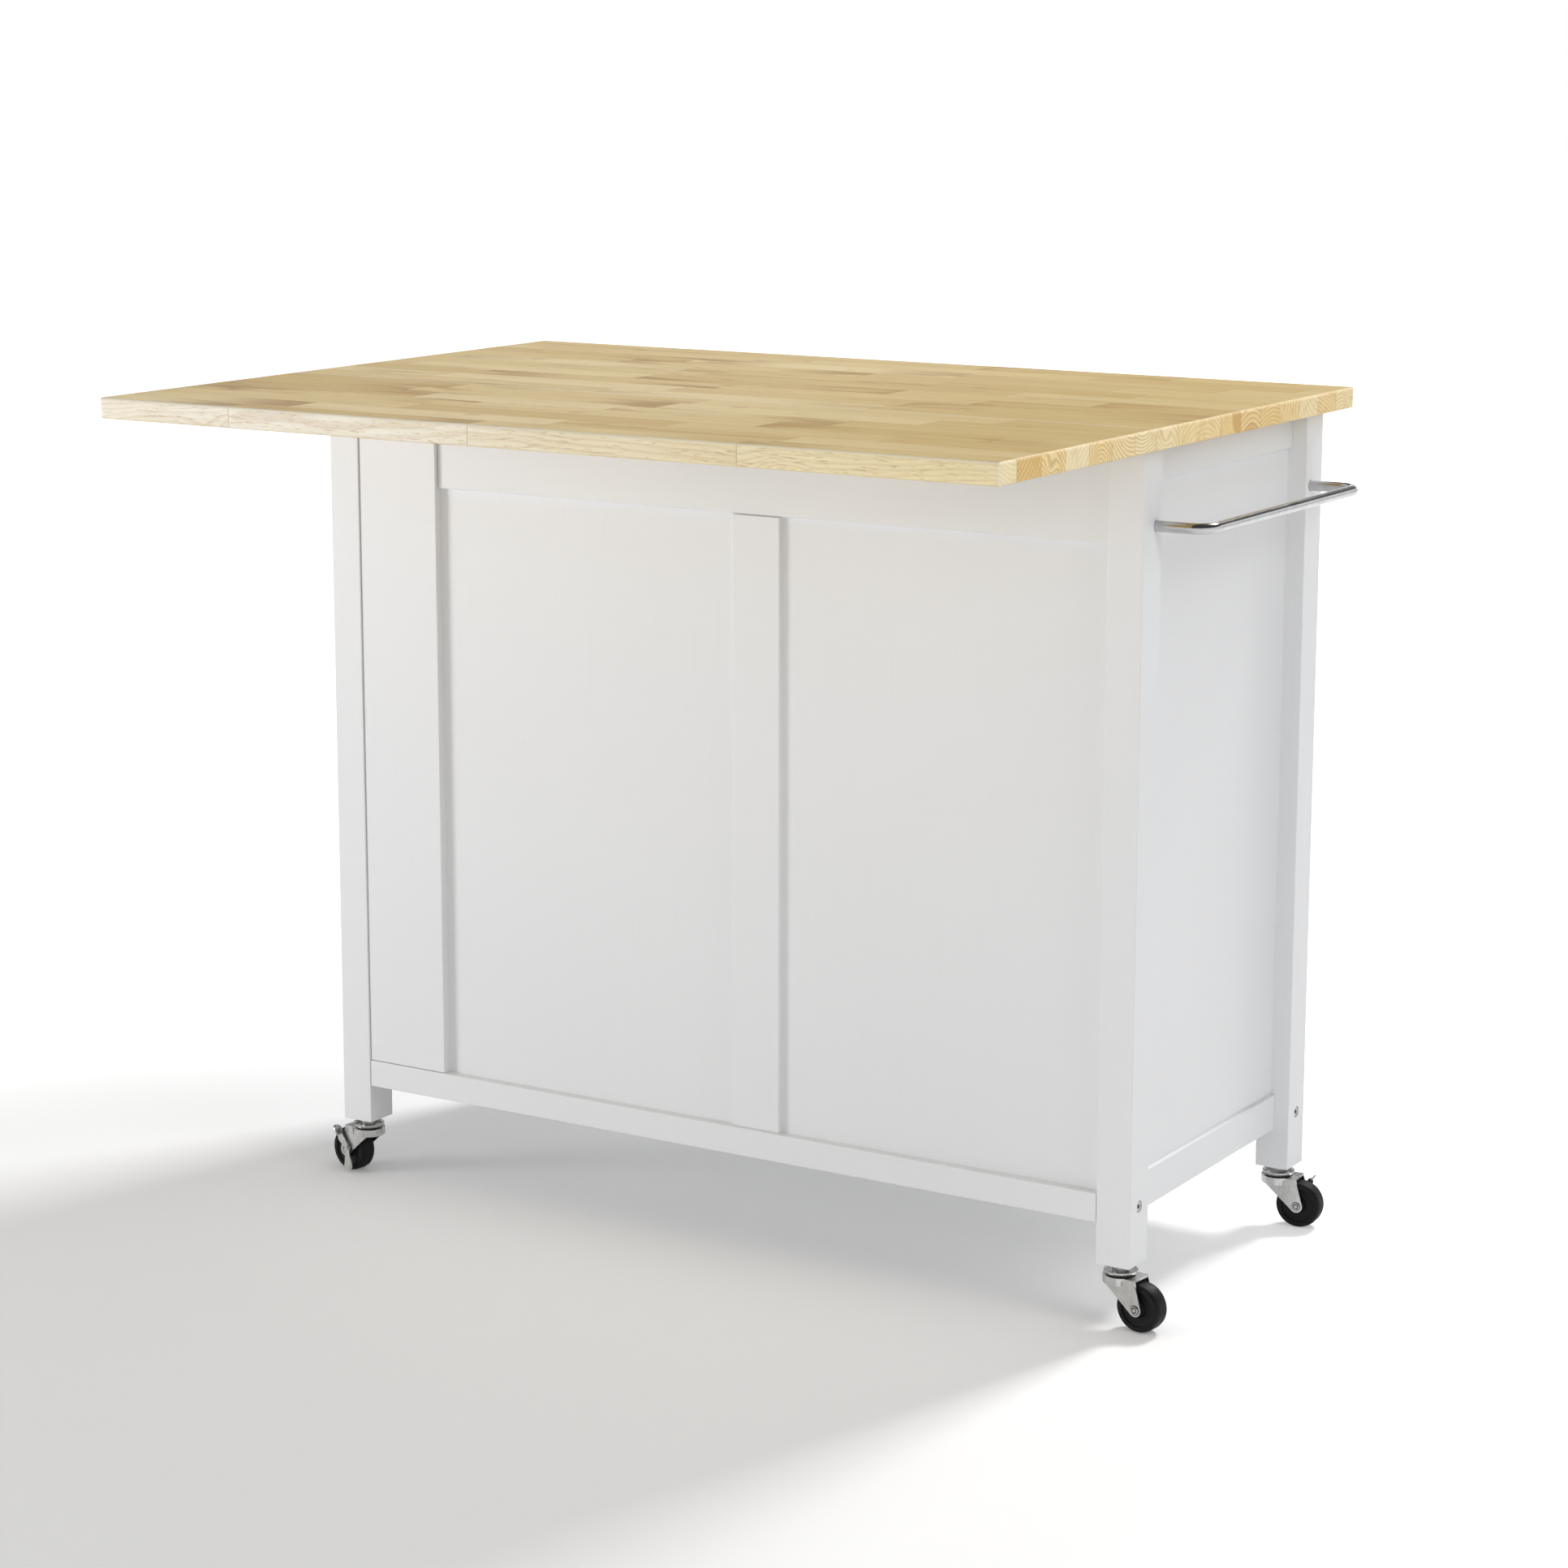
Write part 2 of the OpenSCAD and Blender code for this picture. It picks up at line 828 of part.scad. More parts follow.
module door_panel(bay) {
    mid_y = (front_face_y + front_back_y) / 2;
    color(paint)
        block([bay[0] + reveal + door_frame_w, mid_y - door_panel_t / 2,
               door_low_z + door_frame_w],
              [bay[1] - reveal - door_frame_w, mid_y + door_panel_t / 2,
               door_top_z - door_frame_w]);
}

module left_door_frame() {
    door_frame(bays[0]);
}

module left_door_panel() {
    door_panel(bays[0]);
}

module left_door_knob() {
    knob(bays[0][1] - reveal - door_frame_w / 2, door_top_z - 70);
}

module right_door_frame() {
    door_frame(bays[1]);
}

module right_door_panel() {
    door_panel(bays[1]);
}

module right_door_knob() {
    knob(bays[1][0] + reveal + door_frame_w / 2, door_top_z - 70);
}

// ---------- door hinges ----------

// one half of a butt hinge on the pin axis, as if for a door on its +X side;
// the fixed half has the two end knuckles and the pin, the moving half the
// middle one
module hinge_half(fixed) {
    third = hinge_len / 3;
    gap = 0.3;
    knuckles = fixed ? [[0, third - gap], [2 * third + gap, hinge_len]]
                     : [[third + gap, 2 * third - gap]];
    plate_x = fixed ? -hinge_pin_in : hinge_pin_in - hinge_plate_t;
    plate_y = hinge_r + 0.3;
    difference() {
        union() {
            translate([plate_x, plate_y, 0])
                cube([hinge_plate_t, hinge_plate_d, hinge_len]);
            for (k = knuckles) {
                translate([0, 0, k[0]])
                    cylinder(h = k[1] - k[0], r = hinge_r);
                translate([plate_x, 0, k[0]])
                    cube([hinge_plate_t, plate_y + eps, k[1] - k[0]]);
            }
        }
        translate([0, 0, -1])
            cylinder(h = hinge_len + 2, r = hinge_pin_r + play);
    }
    if (fixed) {
        translate([0, 0, -1.5])
            cylinder(h = hinge_len + 3, r = hinge_pin_r);
        for (z = [-1.5, hinge_len])
            translate([0, 0, z])
                cylinder(h = 1.5, r = hinge_r - 0.4);
    }
}

// places children on the pin axis of a door's hinges
module at_hinges(left) {
    x = left ? bays[0][0] + hinge_pin_in : bays[1][1] - hinge_pin_in;
    for (z = hinge_zs)
        translate([x, front_y - hinge_out, z - hinge_len / 2])
            mirror([left ? 0 : 1, 0, 0])
                children();
}

module door_hinge_plates() {
    color(zinc) {
        at_hinges(true)
            hinge_half(true);
        at_hinges(false)
            hinge_half(true);
    }
}

module left_door_hinge_flaps() {
    color(zinc)
        at_hinges(true)
            hinge_half(false);
}

module right_door_hinge_flaps() {
    color(zinc)
        at_hinges(false)
            hinge_half(false);
}

// ---------- towel bar ----------

// one round bar bent twice, its ends let into the legs
module towel_bar() {
    mid_y = (front_y + back_y) / 2;
    arm_x = left_x - bar_out + bar_bend;
    run = bar_span / 2 - bar_bend;
    let_in = 8;
    color(steel)
        translate([0, mid_y, bar_z]) {
            translate([left_x - bar_out, 0, 0])
                rod_y(-run, run, bar_d / 2);
            for (s = [-1, 1]) {
                translate([0, s * bar_span / 2, 0])
                    rod_x(arm_x, left_x + let_in, bar_d / 2);
                translate([arm_x, s * run, 0])
                    rotate([0, 0, s > 0 ? 90 : 180])
                        rotate_extrude(angle = 90)
                            translate([bar_bend, 0])
                                circle(bar_d / 2);
            }
        }
}

// ---------- casters ----------

// places children under leg k, turned to the rest angle of its caster
module at_caster(k) {
    translate([casters[k].x, casters[k].y, 0])
        rotate([0, 0, casters[k].z])
            children();
}

// bearing cup, king pin and stem, fixed to the leg
module caster_cup() {
    cup_z = fork_top_z + 0.6;
    rotate_extrude()
        polygon([
            [0, fork_top_z - fork_t - 2.4], [7, fork_top_z - fork_t - 2.4],
            [7, fork_top_z - fork_t - 0.4], [king_r, fork_top_z - fork_t - 0.4],
            [king_r, cup_z], [13, cup_z], [16, cup_z + 0.8],
            [17.6, cup_z + 3], [17.6, cup_z + 4.2], [16.6, cup_z + 4.2],
            [15.4, cup_z + 2.4], [9, cup_z + 2], [9, caster_h],
            [stem_r, caster_h], [stem_r, caster_h + stem_len - 1],
            [stem_r - 1, caster_h + stem_len], [0, caster_h + stem_len],
        ]);
}

module caster_cups() {
    color(zinc)
        for (k = [0:3])
            at_caster(k)
                caster_cup();
}

// cheek outline: from the crown, where it starts inside the skirt, down to the
// round end at the axle
module cheek_outline() {
    front = [-11.7, fork_top_z - 7, 0];
    rear = [trail - 1, fork_top_z - 1, 0];
    axle = [trail, wheel_r, 7];
    translate([axle.x, axle.y])
        circle(axle.z);
    polygon([[front.x, rear.y], [front.x, front.y], touch(front, axle, axle, -1),
             touch(rear, axle, axle, 1), [rear.x, rear.y]]);
}

// riveted head of the axle: a raised rim, a groove and a dimpled middle
module rivet_head() {
    rotate_extrude()
        polygon([[0, 0], [4.5, 0], [4.5, 0.9], [4.1, 1.3], [3.3, 1.3], [3, 0.5],
                 [2.3, 0.5], [2, 1.5], [1, 1.5], [0.7, 0.9], [0, 0.9]]);
}

// pressed fork with crown, skirt, two cheeks and the riveted axle
module fork(brake) {
    inner = cheek_out - fork_t;
    crown_z = fork_top_z - fork_t;
    difference() {
        union() {
            difference() {
                union() {
                    translate([0, 0, fork_top_z - 8])
                        cylinder(h = 8, r = dome_r);
                    block([0, -cheek_out, crown_z], [trail - 1, cheek_out, fork_top_z]);
                }
                translate([0, 0, fork_top_z - 9])
                    cylinder(h = 9 - fork_t, r = dome_r - fork_t);
                block([inner - 2, -30, fork_top_z - 10], [40, 30, crown_z]);
            }
            for (v = [-cheek_out, inner])
                across_y(v, v + fork_t)
                    cheek_outline();
        }
        translate([0, 0, fork_top_z - 5])
            cylinder(h = 10, r = king_r + play);
    }
    translate([trail, 0, wheel_r]) {
        rod_y(-cheek_out, cheek_out, axle_r);
        for (s = [-1, 1])
            translate([0, s * cheek_out, 0])
                rotate([-s * 90, 0, 0])
                    rivet_head();
    }
    if (brake)
        translate([brake_pin.x, 0, brake_pin.y]) {
            rod_y(cheek_out - eps, brake_v + brake_t + 0.4, brake_pin_r);
            rod_y(brake_v + brake_t + 0.4, brake_v + brake_t + 1.2, brake_pin_r + 1);
        }
}

// crowned wheel with a ring groove in each face and a proud hub
module wheel() {
    w = wheel_w / 2;
    hub_w = cheek_out - fork_t - 0.5;
    profile = [[wheel_r, w - 5], [wheel_r - 0.6, w - 2], [wheel_r - 2.2, w],
               [wheel_r - 6.5, w], [wheel_r - 7.2, w - 1.6], [wheel_r - 9, w - 2],
               [9.5, w - 2], [8, hub_w], [axle_r + play, hub_w]];
    translate([trail, 0, wheel_r])
        rotate([90, 0, 0])
            rotate_extrude()
                polygon(concat(profile,
                    [for (k = [len(profile) - 1:-1:0]) [profile[k].x, -profile[k].y]]));
}

// S-shaped foot lever: a side plate that rocks on its pin, with a sloping pad
// for the foot across its upper end
module brake() {
    pin = brake_pin;
    low = [trail - 8, 7.9];
    pad_low = [trail + 4.5, wheel_r + 18.8];
    pad_high = [trail + 10.3, wheel_r + 27.4];
    pad_r = 4.8;
    translate([0, brake_v + brake_t / 2, 0]) {
        difference() {
            across_y(-brake_t / 2, brake_t / 2)
                chain([[pad_low.x + 1.4, pad_low.y + 2.4, 3.2], [trail + 2.4, wheel_r + 13.8, 4.9],
                       [trail - 3.4, wheel_r + 8.4, 3.8], [pin.x, pin.y, 3.4],
                       [pin.x - 0.3, wheel_r - 4.5, 3.7], [low.x, low.y + 5.2, 5],
                       [low.x, low.y, 5.8]]);
            translate([pin.x, 0, pin.y])
                rod_y(-3, 3, brake_pin_r + play);
        }
        intersection() {
            across_y(-5, 6)
                link([pad_low.x, pad_low.y, 0.9], [pad_high.x, pad_high.y, 0.9]);
            across_x(trail, trail + 20)
                translate([-pad_r, pad_low.y - 4])
                    round_rect(2.2 * pad_r, 13.4, pad_r);
        }
    }
}

module front_left_fork() {
    color(zinc)
        at_caster(0)
            fork(true);
}

module front_right_fork() {
    color(zinc)
        at_caster(1)
            fork(false);
}

module back_left_fork() {
    color(zinc)
        at_caster(2)
            fork(false);
}

module back_right_fork() {
    color(zinc)
        at_caster(3)
            fork(true);
}

module front_left_wheel() {
    color(black)
        at_caster(0)
            wheel();
}

module front_right_wheel() {
    color(black)
        at_caster(1)
            wheel();
}

module back_left_wheel() {
    color(black)
        at_caster(2)
            wheel();
}

module back_right_wheel() {
    color(black)
        at_caster(3)
            wheel();
}

module front_left_brake() {
    color(steel)
        at_caster(0)
            brake();
}

module back_right_brake() {
    color(steel)
        at_caster(3)
            brake();
}

worktop();
drop_leaf();
leaf_brackets();
leaf_arms();
leaf_pivot_pins();
front_left_leg();
front_right_leg();
back_left_leg();
back_right_leg();
back_top_rail();
back_bottom_rail();
back_wide_board();
back_centre_stile();
back_panel_left();
back_panel_right();
end_panel();
end_top_rails();
end_bottom_rails();
front_top_rail();
front_bottom_rail();
front_wide_board();
front_centre_stile();
cabinet_floor();
centre_partition();
end_partition();
rack_lower_shelf();
rack_upper_shelf();
left_shelf();
right_shelf();
shelf_pins();
drawer_runners();
left_drawer_front();
left_drawer_box();
left_drawer_knob();
right_drawer_front();
right_drawer_box();
right_drawer_knob();
left_door_frame();
left_door_panel();
left_door_knob();
right_door_frame();
right_door_panel();
right_door_knob();
door_hinge_plates();
left_door_hinge_flaps();
right_door_hinge_flaps();
towel_bar();
leg_bolts();
caster_cups();
front_left_fork();
front_right_fork();
back_left_fork();
back_right_fork();
front_left_wheel();
front_right_wheel();
back_left_wheel();
back_right_wheel();
front_left_brake();
back_right_brake();
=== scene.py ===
"""The kitchen island dressed for its picture: butcher block, paint, metal, small
hardware, floor, light and camera. The CAD model is the frame, and every piece
rides on one of its bodies. Lengths are in metres, in the frame of the CAD model:
+X towards the rack, +Y towards the free edge of the leaf, +Z up."""

import json
import math

import bmesh
import bpy
import numpy as np
from mathutils import Matrix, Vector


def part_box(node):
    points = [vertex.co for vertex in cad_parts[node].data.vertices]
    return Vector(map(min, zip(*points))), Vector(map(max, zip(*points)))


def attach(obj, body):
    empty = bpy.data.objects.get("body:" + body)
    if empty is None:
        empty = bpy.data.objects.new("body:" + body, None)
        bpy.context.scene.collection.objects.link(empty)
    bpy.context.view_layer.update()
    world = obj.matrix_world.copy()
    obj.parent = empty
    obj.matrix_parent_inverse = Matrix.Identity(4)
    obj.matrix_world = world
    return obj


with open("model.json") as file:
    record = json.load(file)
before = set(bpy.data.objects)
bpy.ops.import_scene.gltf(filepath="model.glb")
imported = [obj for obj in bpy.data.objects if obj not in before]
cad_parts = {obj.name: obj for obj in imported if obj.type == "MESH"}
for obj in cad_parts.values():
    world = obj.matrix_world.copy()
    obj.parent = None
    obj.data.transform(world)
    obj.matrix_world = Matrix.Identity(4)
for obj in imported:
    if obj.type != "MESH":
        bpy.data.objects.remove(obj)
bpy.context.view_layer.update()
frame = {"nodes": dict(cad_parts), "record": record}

# ---------- places that the finishes and the hardware go by ----------

WORKTOP_LO, WORKTOP_HI = (np.array(c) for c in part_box("worktop"))
LEAF_LO = np.array(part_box("drop_leaf")[0])
SEAM_Y = (WORKTOP_HI[1] + LEAF_LO[1]) / 2
MID_Z = (WORKTOP_LO[2] + WORKTOP_HI[2]) / 2

STRIP = 0.047  # width of a strip of the butcher block
STAVE = 0.31  # usual length of a stave in a strip

# tones of the wood: (place from 0 to 1, colour)
FACE_TONES = ((0.0, (0.735, 0.55, 0.25)), (0.22, (0.87, 0.69, 0.36)), (0.45, (0.81, 0.62, 0.30)),
              (0.66, (0.92, 0.76, 0.44)), (0.86, (0.77, 0.575, 0.265)), (1.0, (0.69, 0.50, 0.22)))
END_TONES = ((0.0, (0.98, 0.85, 0.55)), (0.4, (0.95, 0.765, 0.41)), (0.75, (0.89, 0.67, 0.30)),
             (1.0, (0.80, 0.54, 0.20)))
DRAWER_TONES = ((0.3, (0.70, 0.56, 0.36)), (0.55, (0.62, 0.475, 0.285)), (0.75, (0.50, 0.35, 0.185)))

PLATE = 0.003  # thickness of the plates of the leaf brackets and arms
BRACKET_WIDTH = 0.044
CATCH = (0.013, 0.014, 0.046)  # size of a magnetic catch
CATCH_REACH = 0.0125  # from the partition to where its catch meets the door
BELOW_TOP = 0.016  # from the top of a door down to its catch

# rings of painted shade on a caster, dark where shade falls in the groove of each axle
# rivet and round its rim: distance from the middle of the wheel, inner and outer radius
PAINTED_SHADE_RINGS = ((0.01458, 0.00232, 0.00298), (0.01404, 0.00452, 0.00515))

MIRRORED_GLOW = 0.14  # share of the floor's added white that metal mirrors
PHOTO_PIXELS = 1932  # width of the photograph
FOCAL_PIXELS = 4591  # focal length in pixels of the photograph
SENSOR = 36.0  # millimetres


# ---------- material graphs ----------


class Recipe:
    """A material's node graph, built up one step at a time."""

    def __init__(self, name, **constants):
        self.material = bpy.data.materials.new(name)
        self.material.use_nodes = True
        self.tree = self.material.node_tree
        self.shader = self.tree.nodes["Principled BSDF"]
        for socket, value in constants.items():
            self.shader.inputs[socket.replace("_", " ")].default_value = value
        place = self.step("ShaderNodeTexCoord")
        self.place = place.outputs["Object"]
        self.facing = place.outputs["Normal"]

    def feed(self, socket, value):
        """Links a socket, or sets it to a plain value."""
        if isinstance(value, bpy.types.NodeSocket):
            self.tree.links.new(value, socket)
        else:
            socket.default_value = value

    def step(self, kind, inputs=None, **settings):
        node = self.tree.nodes.new(kind)
        for key, value in settings.items():
            setattr(node, key, value)
        for socket, value in (inputs or {}).items():
            self.feed(node.inputs[socket], value)
        return node

    def calc(self, operation, a, b=0.0):
        return self.step("ShaderNodeMath", {0: a, 1: b}, operation=operation).outputs[0]

    def split(self, vector):
        node = self.step("ShaderNodeSeparateXYZ", {0: vector})
        return node.outputs[0], node.outputs[1], node.outputs[2]

    def join(self, x, y, z):
        return self.step("ShaderNodeCombineXYZ", {0: x, 1: y, 2: z}).outputs[0]

    def stretch(self, vector, by):
        """The vector times by, axis by axis."""
        node = self.step("ShaderNodeVectorMath", {0: vector, 1: by}, operation="MULTIPLY")
        return node.outputs[0]

    def noise(self, vector, scale=1.0, detail=3.0, rough=0.5):
        inputs = {"Vector": vector, "Scale": scale, "Detail": detail, "Roughness": rough}
        return self.step("ShaderNodeTexNoise", inputs).outputs[0]

    def chance(self, vector):
        """Three random numbers that stay the same for equal vectors."""
        node = self.step("ShaderNodeTexWhiteNoise", {"Vector": vector}, noise_dimensions="3D")
        colour = self.step("ShaderNodeSeparateColor", {0: node.outputs["Color"]})
        return colour.outputs[0], colour.outputs[1], colour.outputs[2]

    def between(self, value, low, high, out_low=0.0, out_high=1.0):
        """A smooth step: value from low to high becomes out_low to out_high."""
        inputs = {0: value, 1: low, 2: high, 3: out_low, 4: out_high}
        return self.step("ShaderNodeMapRange", inputs, interpolation_type="SMOOTHSTEP").outputs[0]

    def mix(self, share, a, b):
        """Colour a with a share of colour b laid over it."""
        node = self.step("ShaderNodeMix", data_type="RGBA")
        self.feed(node.inputs[0], share)
        for socket, value in ((6, a), (7, b)):
            plain = not isinstance(value, bpy.types.NodeSocket)
            self.feed(node.inputs[socket], (*value, 1) if plain else value)
        return node.outputs[2]

    def ramp(self, value, *stops):
        """Colours at places from 0 to 1: stops are (place, colour)."""
        node = self.step("ShaderNodeValToRGB", {0: value})
        band = node.color_ramp
        while len(band.elements) < len(stops):
            band.elements.new(0.5)
        for element, (place, colour) in zip(band.elements, stops):
            element.position = place
            element.color = (*colour, 1)
        return node.outputs[0]

    def bump(self, height, strength, depth):
        inputs = {"Height": height, "Strength": strength, "Distance": depth}
        self.feed(self.shader.inputs["Normal"], self.step("ShaderNodeBump", inputs).outputs[0])

    def finish(self, colour, roughness=None):
        self.feed(self.shader.inputs["Base Color"], colour)
        if roughness is not None:
            self.feed(self.shader.inputs["Roughness"], roughness)
        return self.material


def butcher_block():
    """Finger-jointed strips along X. Each stave is cut from a log whose heart
    lies at its own place in Y and Z and leans a little, so one solid pattern gives
    streaks on the faces and ring arcs on the ends: ring = distance from that
    heart / width of a year's growth."""
    m = Recipe("butcher_block", Specular_IOR_Level=0.25)
    x, y, z = m.split(m.place)
    strip_at = m.calc("DIVIDE", m.calc("SUBTRACT", y, SEAM_Y), STRIP)
    strip = m.calc("FLOOR", strip_at)
    across = m.calc("SUBTRACT", strip_at, strip)
    slip, _, _ = m.chance(m.join(strip, 3.7, 1.1))
    along = m.calc("ADD", m.calc("DIVIDE", x, STAVE), m.calc("MULTIPLY", slip, 40.0))
    staves = {"W": along, "Scale": 1.0, "Randomness": 0.75}
    cells = m.step("ShaderNodeTexVoronoi", staves, voronoi_dimensions="1D")
    edges = m.step("ShaderNodeTexVoronoi", staves, voronoi_dimensions="1D", feature="DISTANCE_TO_EDGE")
    to_end = edges.outputs["Distance"]
    cell = m.step("ShaderNodeSeparateColor", {0: cells.outputs["Color"]})
    seed = m.join(m.calc("MULTIPLY", strip, 0.731), cell.outputs[0], cell.outputs[1])
    tint, heart_side, heart_depth = m.chance(seed)
    streaky, shade, growth = m.chance(m.stretch(seed, (3.1, 5.7, 2.3)))
    lean, stain, _ = m.chance(m.stretch(seed, (1.7, 2.9, 6.1)))

    def wave(by_x, by_y, by_z, detail=2.0, rough=0.5):
        """Noise at so many waves per metre along each axis, its own in each stave."""
        slid = m.calc("ADD", m.calc("MULTIPLY", x, by_x), m.calc("MULTIPLY", tint, 37.0))
        at = m.join(slid, m.calc("MULTIPLY", y, by_y), m.calc("MULTIPLY", z, by_z))
        return m.noise(at, 1.0, detail, rough)

    # distance from the heart of the log, with the wander of a real one and a
    # swelling round each small knot
    off_y = m.calc("SUBTRACT", m.calc("MULTIPLY", m.calc("SUBTRACT", across, 0.5), STRIP),
                   m.calc("MULTIPLY", m.calc("SUBTRACT", heart_side, 0.5), 0.085))
    drift = m.calc("MULTIPLY", m.calc("SUBTRACT", lean, 0.5), m.calc("MULTIPLY", x, 0.20))
    depth = m.calc("MULTIPLY", m.calc("SUBTRACT", heart_depth, 0.5), 0.075)
    off_z = m.calc("ADD", m.calc("ADD", m.calc("SUBTRACT", z, MID_Z), depth), drift)
    radius = m.calc("SQRT", m.calc("ADD", m.calc("MULTIPLY", off_y, off_y), m.calc("MULTIPLY", off_z, off_z)))
    radius = m.calc("ADD", radius, m.calc("MULTIPLY", wave(4.5, 9.0, 9.0), 0.026))
    radius = m.calc("ADD", radius, m.calc("MULTIPLY", wave(16.0, 70.0, 70.0), 0.0018))
    squeezed = m.stretch(m.place, (9.0, 21.0, 21.0))
    spots = m.step("ShaderNodeTexVoronoi", {"Vector": squeezed, "Scale": 1.0}).outputs["Distance"]
    radius = m.calc("ADD", radius, m.between(spots, 0.42, 0.0, 0.0, 0.013))
    width = m.calc("ADD", 0.0038, m.calc("MULTIPLY", growth, 0.0030))
    year = m.calc("FRACT", m.calc("DIVIDE", radius, width))
    ring = m.calc("MULTIPLY", m.between(year, 0.30, 0.90), m.between(year, 1.0, 0.92))

    # fibres, pores, flecks and soft bands of colour that run along the strip
    fibre = wave(7.0, 420.0, 420.0, 3.0, 0.6)
    band = wave(4.0, 75.0, 40.0)
    pores = m.between(wave(60.0, 1500.0, 1500.0, 1.0), 0.66, 0.74)
    hairs = m.between(wave(11.0, 430.0, 430.0, 2.0), 0.58, 0.70)
    strokes = m.between(wave(26.0, 330.0, 330.0, 2.0), 0.63, 0.72)
    flecks = m.between(wave(80.0, 900.0, 900.0, 2.0), 0.59, 0.68)

    nx, ny, up = m.split(m.facing)
    endwise, sideways = m.calc("ABSOLUTE", nx), m.calc("ABSOLUTE", ny)
    end = m.between(endwise, 0.45, 0.8)
    side = m.between(sideways, 0.45, 0.8)

    # the broad face: a tone for each stave, brown bands, and stains near its ends
    face = m.ramp(tint, *FACE_TONES)
    brown = m.calc("MULTIPLY", m.between(band, 0.50, 0.74), m.calc("MULTIPLY", streaky, 0.55))
    face = m.mix(brown, face, (0.52, 0.345, 0.145))
    face = m.mix(m.between(band, 0.45, 0.25, 0.0, 0.45), face, (0.87, 0.74, 0.46))
    patch = m.calc("MULTIPLY", m.between(to_end, 0.42, 0.03), m.between(wave(8.0, 42.0, 42.0, 3.0), 0.38, 0.58))
    patch = m.calc("MULTIPLY", patch, m.between(stain, 0.40, 0.75, 0.0, 0.80))
    face = m.mix(patch, face, (0.45, 0.275, 0.11))
    face = m.mix(m.calc("MULTIPLY", hairs, 0.36), face, (0.47, 0.31, 0.14))
    face = m.mix(m.calc("MULTIPLY", strokes, 0.46), face, (0.40, 0.255, 0.115))
    face = m.mix(m.between(spots, 0.15, 0.03, 0.0, 0.5), face, (0.42, 0.26, 0.11))
    face = m.mix(m.between(x, 0.12, -0.46, 0.0, 0.44), face, (0.57, 0.39, 0.075))

    # the long edges: cream, and golden towards the bar end; the cream is partly the wood's own paler edge and
    # partly painted light, standing for the strong light these edges catch
    golden = m.between(x, 0.34, -0.46)
    pale = m.mix(m.between(wave(9.0, 60.0, 60.0), 0.35, 0.68), (0.985, 0.94, 0.825), (0.93, 0.86, 0.71))
    pale = m.mix(m.calc("MULTIPLY", golden, 0.92), pale, m.mix(shade, (0.94, 0.80, 0.475), (0.89, 0.72, 0.38)))
    pale = m.mix(m.calc("MULTIPLY", shade, 0.10), pale, (0.70, 0.54, 0.33))
    pale = m.mix(m.calc("MULTIPLY", flecks, 0.58), pale, (0.58, 0.40, 0.19))
    pale = m.mix(m.between(spots, 0.16, 0.02, 0.0, 0.7), pale, (0.50, 0.33, 0.13))

    # the sawn ends: pale sapwood outside, and brown heartwood in some staves
    cut = m.ramp(shade, *END_TONES)
    bounds = m.calc("ADD", 0.026, m.calc("MULTIPLY", streaky, 0.028))
    heartwood = m.between(m.calc("SUBTRACT", bounds, radius), -0.0006, 0.0006)
    heartwood = m.calc("MULTIPLY", heartwood, m.between(growth, 0.30, 0.55, 0.0, 0.72))
    cut = m.mix(heartwood, cut, (0.66, 0.375, 0.105))
    cut = m.mix(m.between(wave(5.0, 70.0, 70.0), 0.5, 0.72, 0.0, 0.3), cut, (0.68, 0.43, 0.16))
    # side faces take the paler edge colour, partly painted light
    colour = m.mix(side, face, pale)
    colour = m.mix(end, colour, cut)
    strength = m.between(streaky, 0.1, 0.9, 0.14, 0.44)
    arcs = m.calc("ADD", 0.10, m.calc("ADD", m.calc("MULTIPLY", end, strength), m.calc("MULTIPLY", side, 0.10)))
    colour = m.mix(m.calc("MULTIPLY", ring, arcs), colour, (0.52, 0.275, 0.08))
    colour = m.mix(m.between(fibre, 0.35, 0.7, 0.0, 0.12), colour, (0.52, 0.37, 0.17))
    colour = m.mix(m.calc("MULTIPLY", pores, 0.20), colour, (0.36, 0.23, 0.10))

    # glue lines between strips, the butted ends of the staves, and a painted highlight:
    # paler colour on upward rounded edges, corners and the seam, standing for the light they catch
    glue = m.between(m.calc("ABSOLUTE", m.calc("SUBTRACT", across, 0.5)), 0.5 - 0.0007 / STRIP, 0.5)
    butt = m.between(to_end, 0.0012 / STAVE, 0.0, 0.0, 1.0)
    glue = m.calc("MULTIPLY", glue, m.calc("ADD", 0.26, m.calc("MULTIPLY", end, 0.3)))
    line = m.calc("MAXIMUM", glue, m.calc("MULTIPLY", butt, 0.42))
    colour = m.mix(line, colour, (0.40, 0.26, 0.12))
    steep = m.calc("MAXIMUM", m.calc("MULTIPLY", endwise, 0.3), sideways)
    upwards = m.between(up, 0.15, 0.5)
    painted_edge_highlight = m.calc("MULTIPLY", m.between(steep, 0.12, 0.5), upwards)
    painted_seam_highlight = m.between(m.calc("ABSOLUTE", m.calc("SUBTRACT", y, SEAM_Y)), 0.0030, 0.0014)
    painted_edge_highlight = m.calc("MAXIMUM", painted_edge_highlight, m.calc("MULTIPLY", painted_seam_highlight, upwards))
    # corners where an end meets a side get the painted highlight too
    corner = m.calc("MULTIPLY", m.between(endwise, 0.25, 0.5), m.between(sideways, 0.25, 0.5))
    painted_edge_highlight = m.calc("MAXIMUM", painted_edge_highlight, corner)
    colour = m.mix(m.calc("MULTIPLY", painted_edge_highlight, 0.60), colour, (0.95, 0.89, 0.72))
    m.bump(m.calc("SUBTRACT", fibre, m.calc("ADD", m.calc("MULTIPLY", pores, 0.6), line)), 0.10, 0.0004)
    return m.finish(colour, m.between(fibre, 0.2, 0.8, 0.42, 0.56))


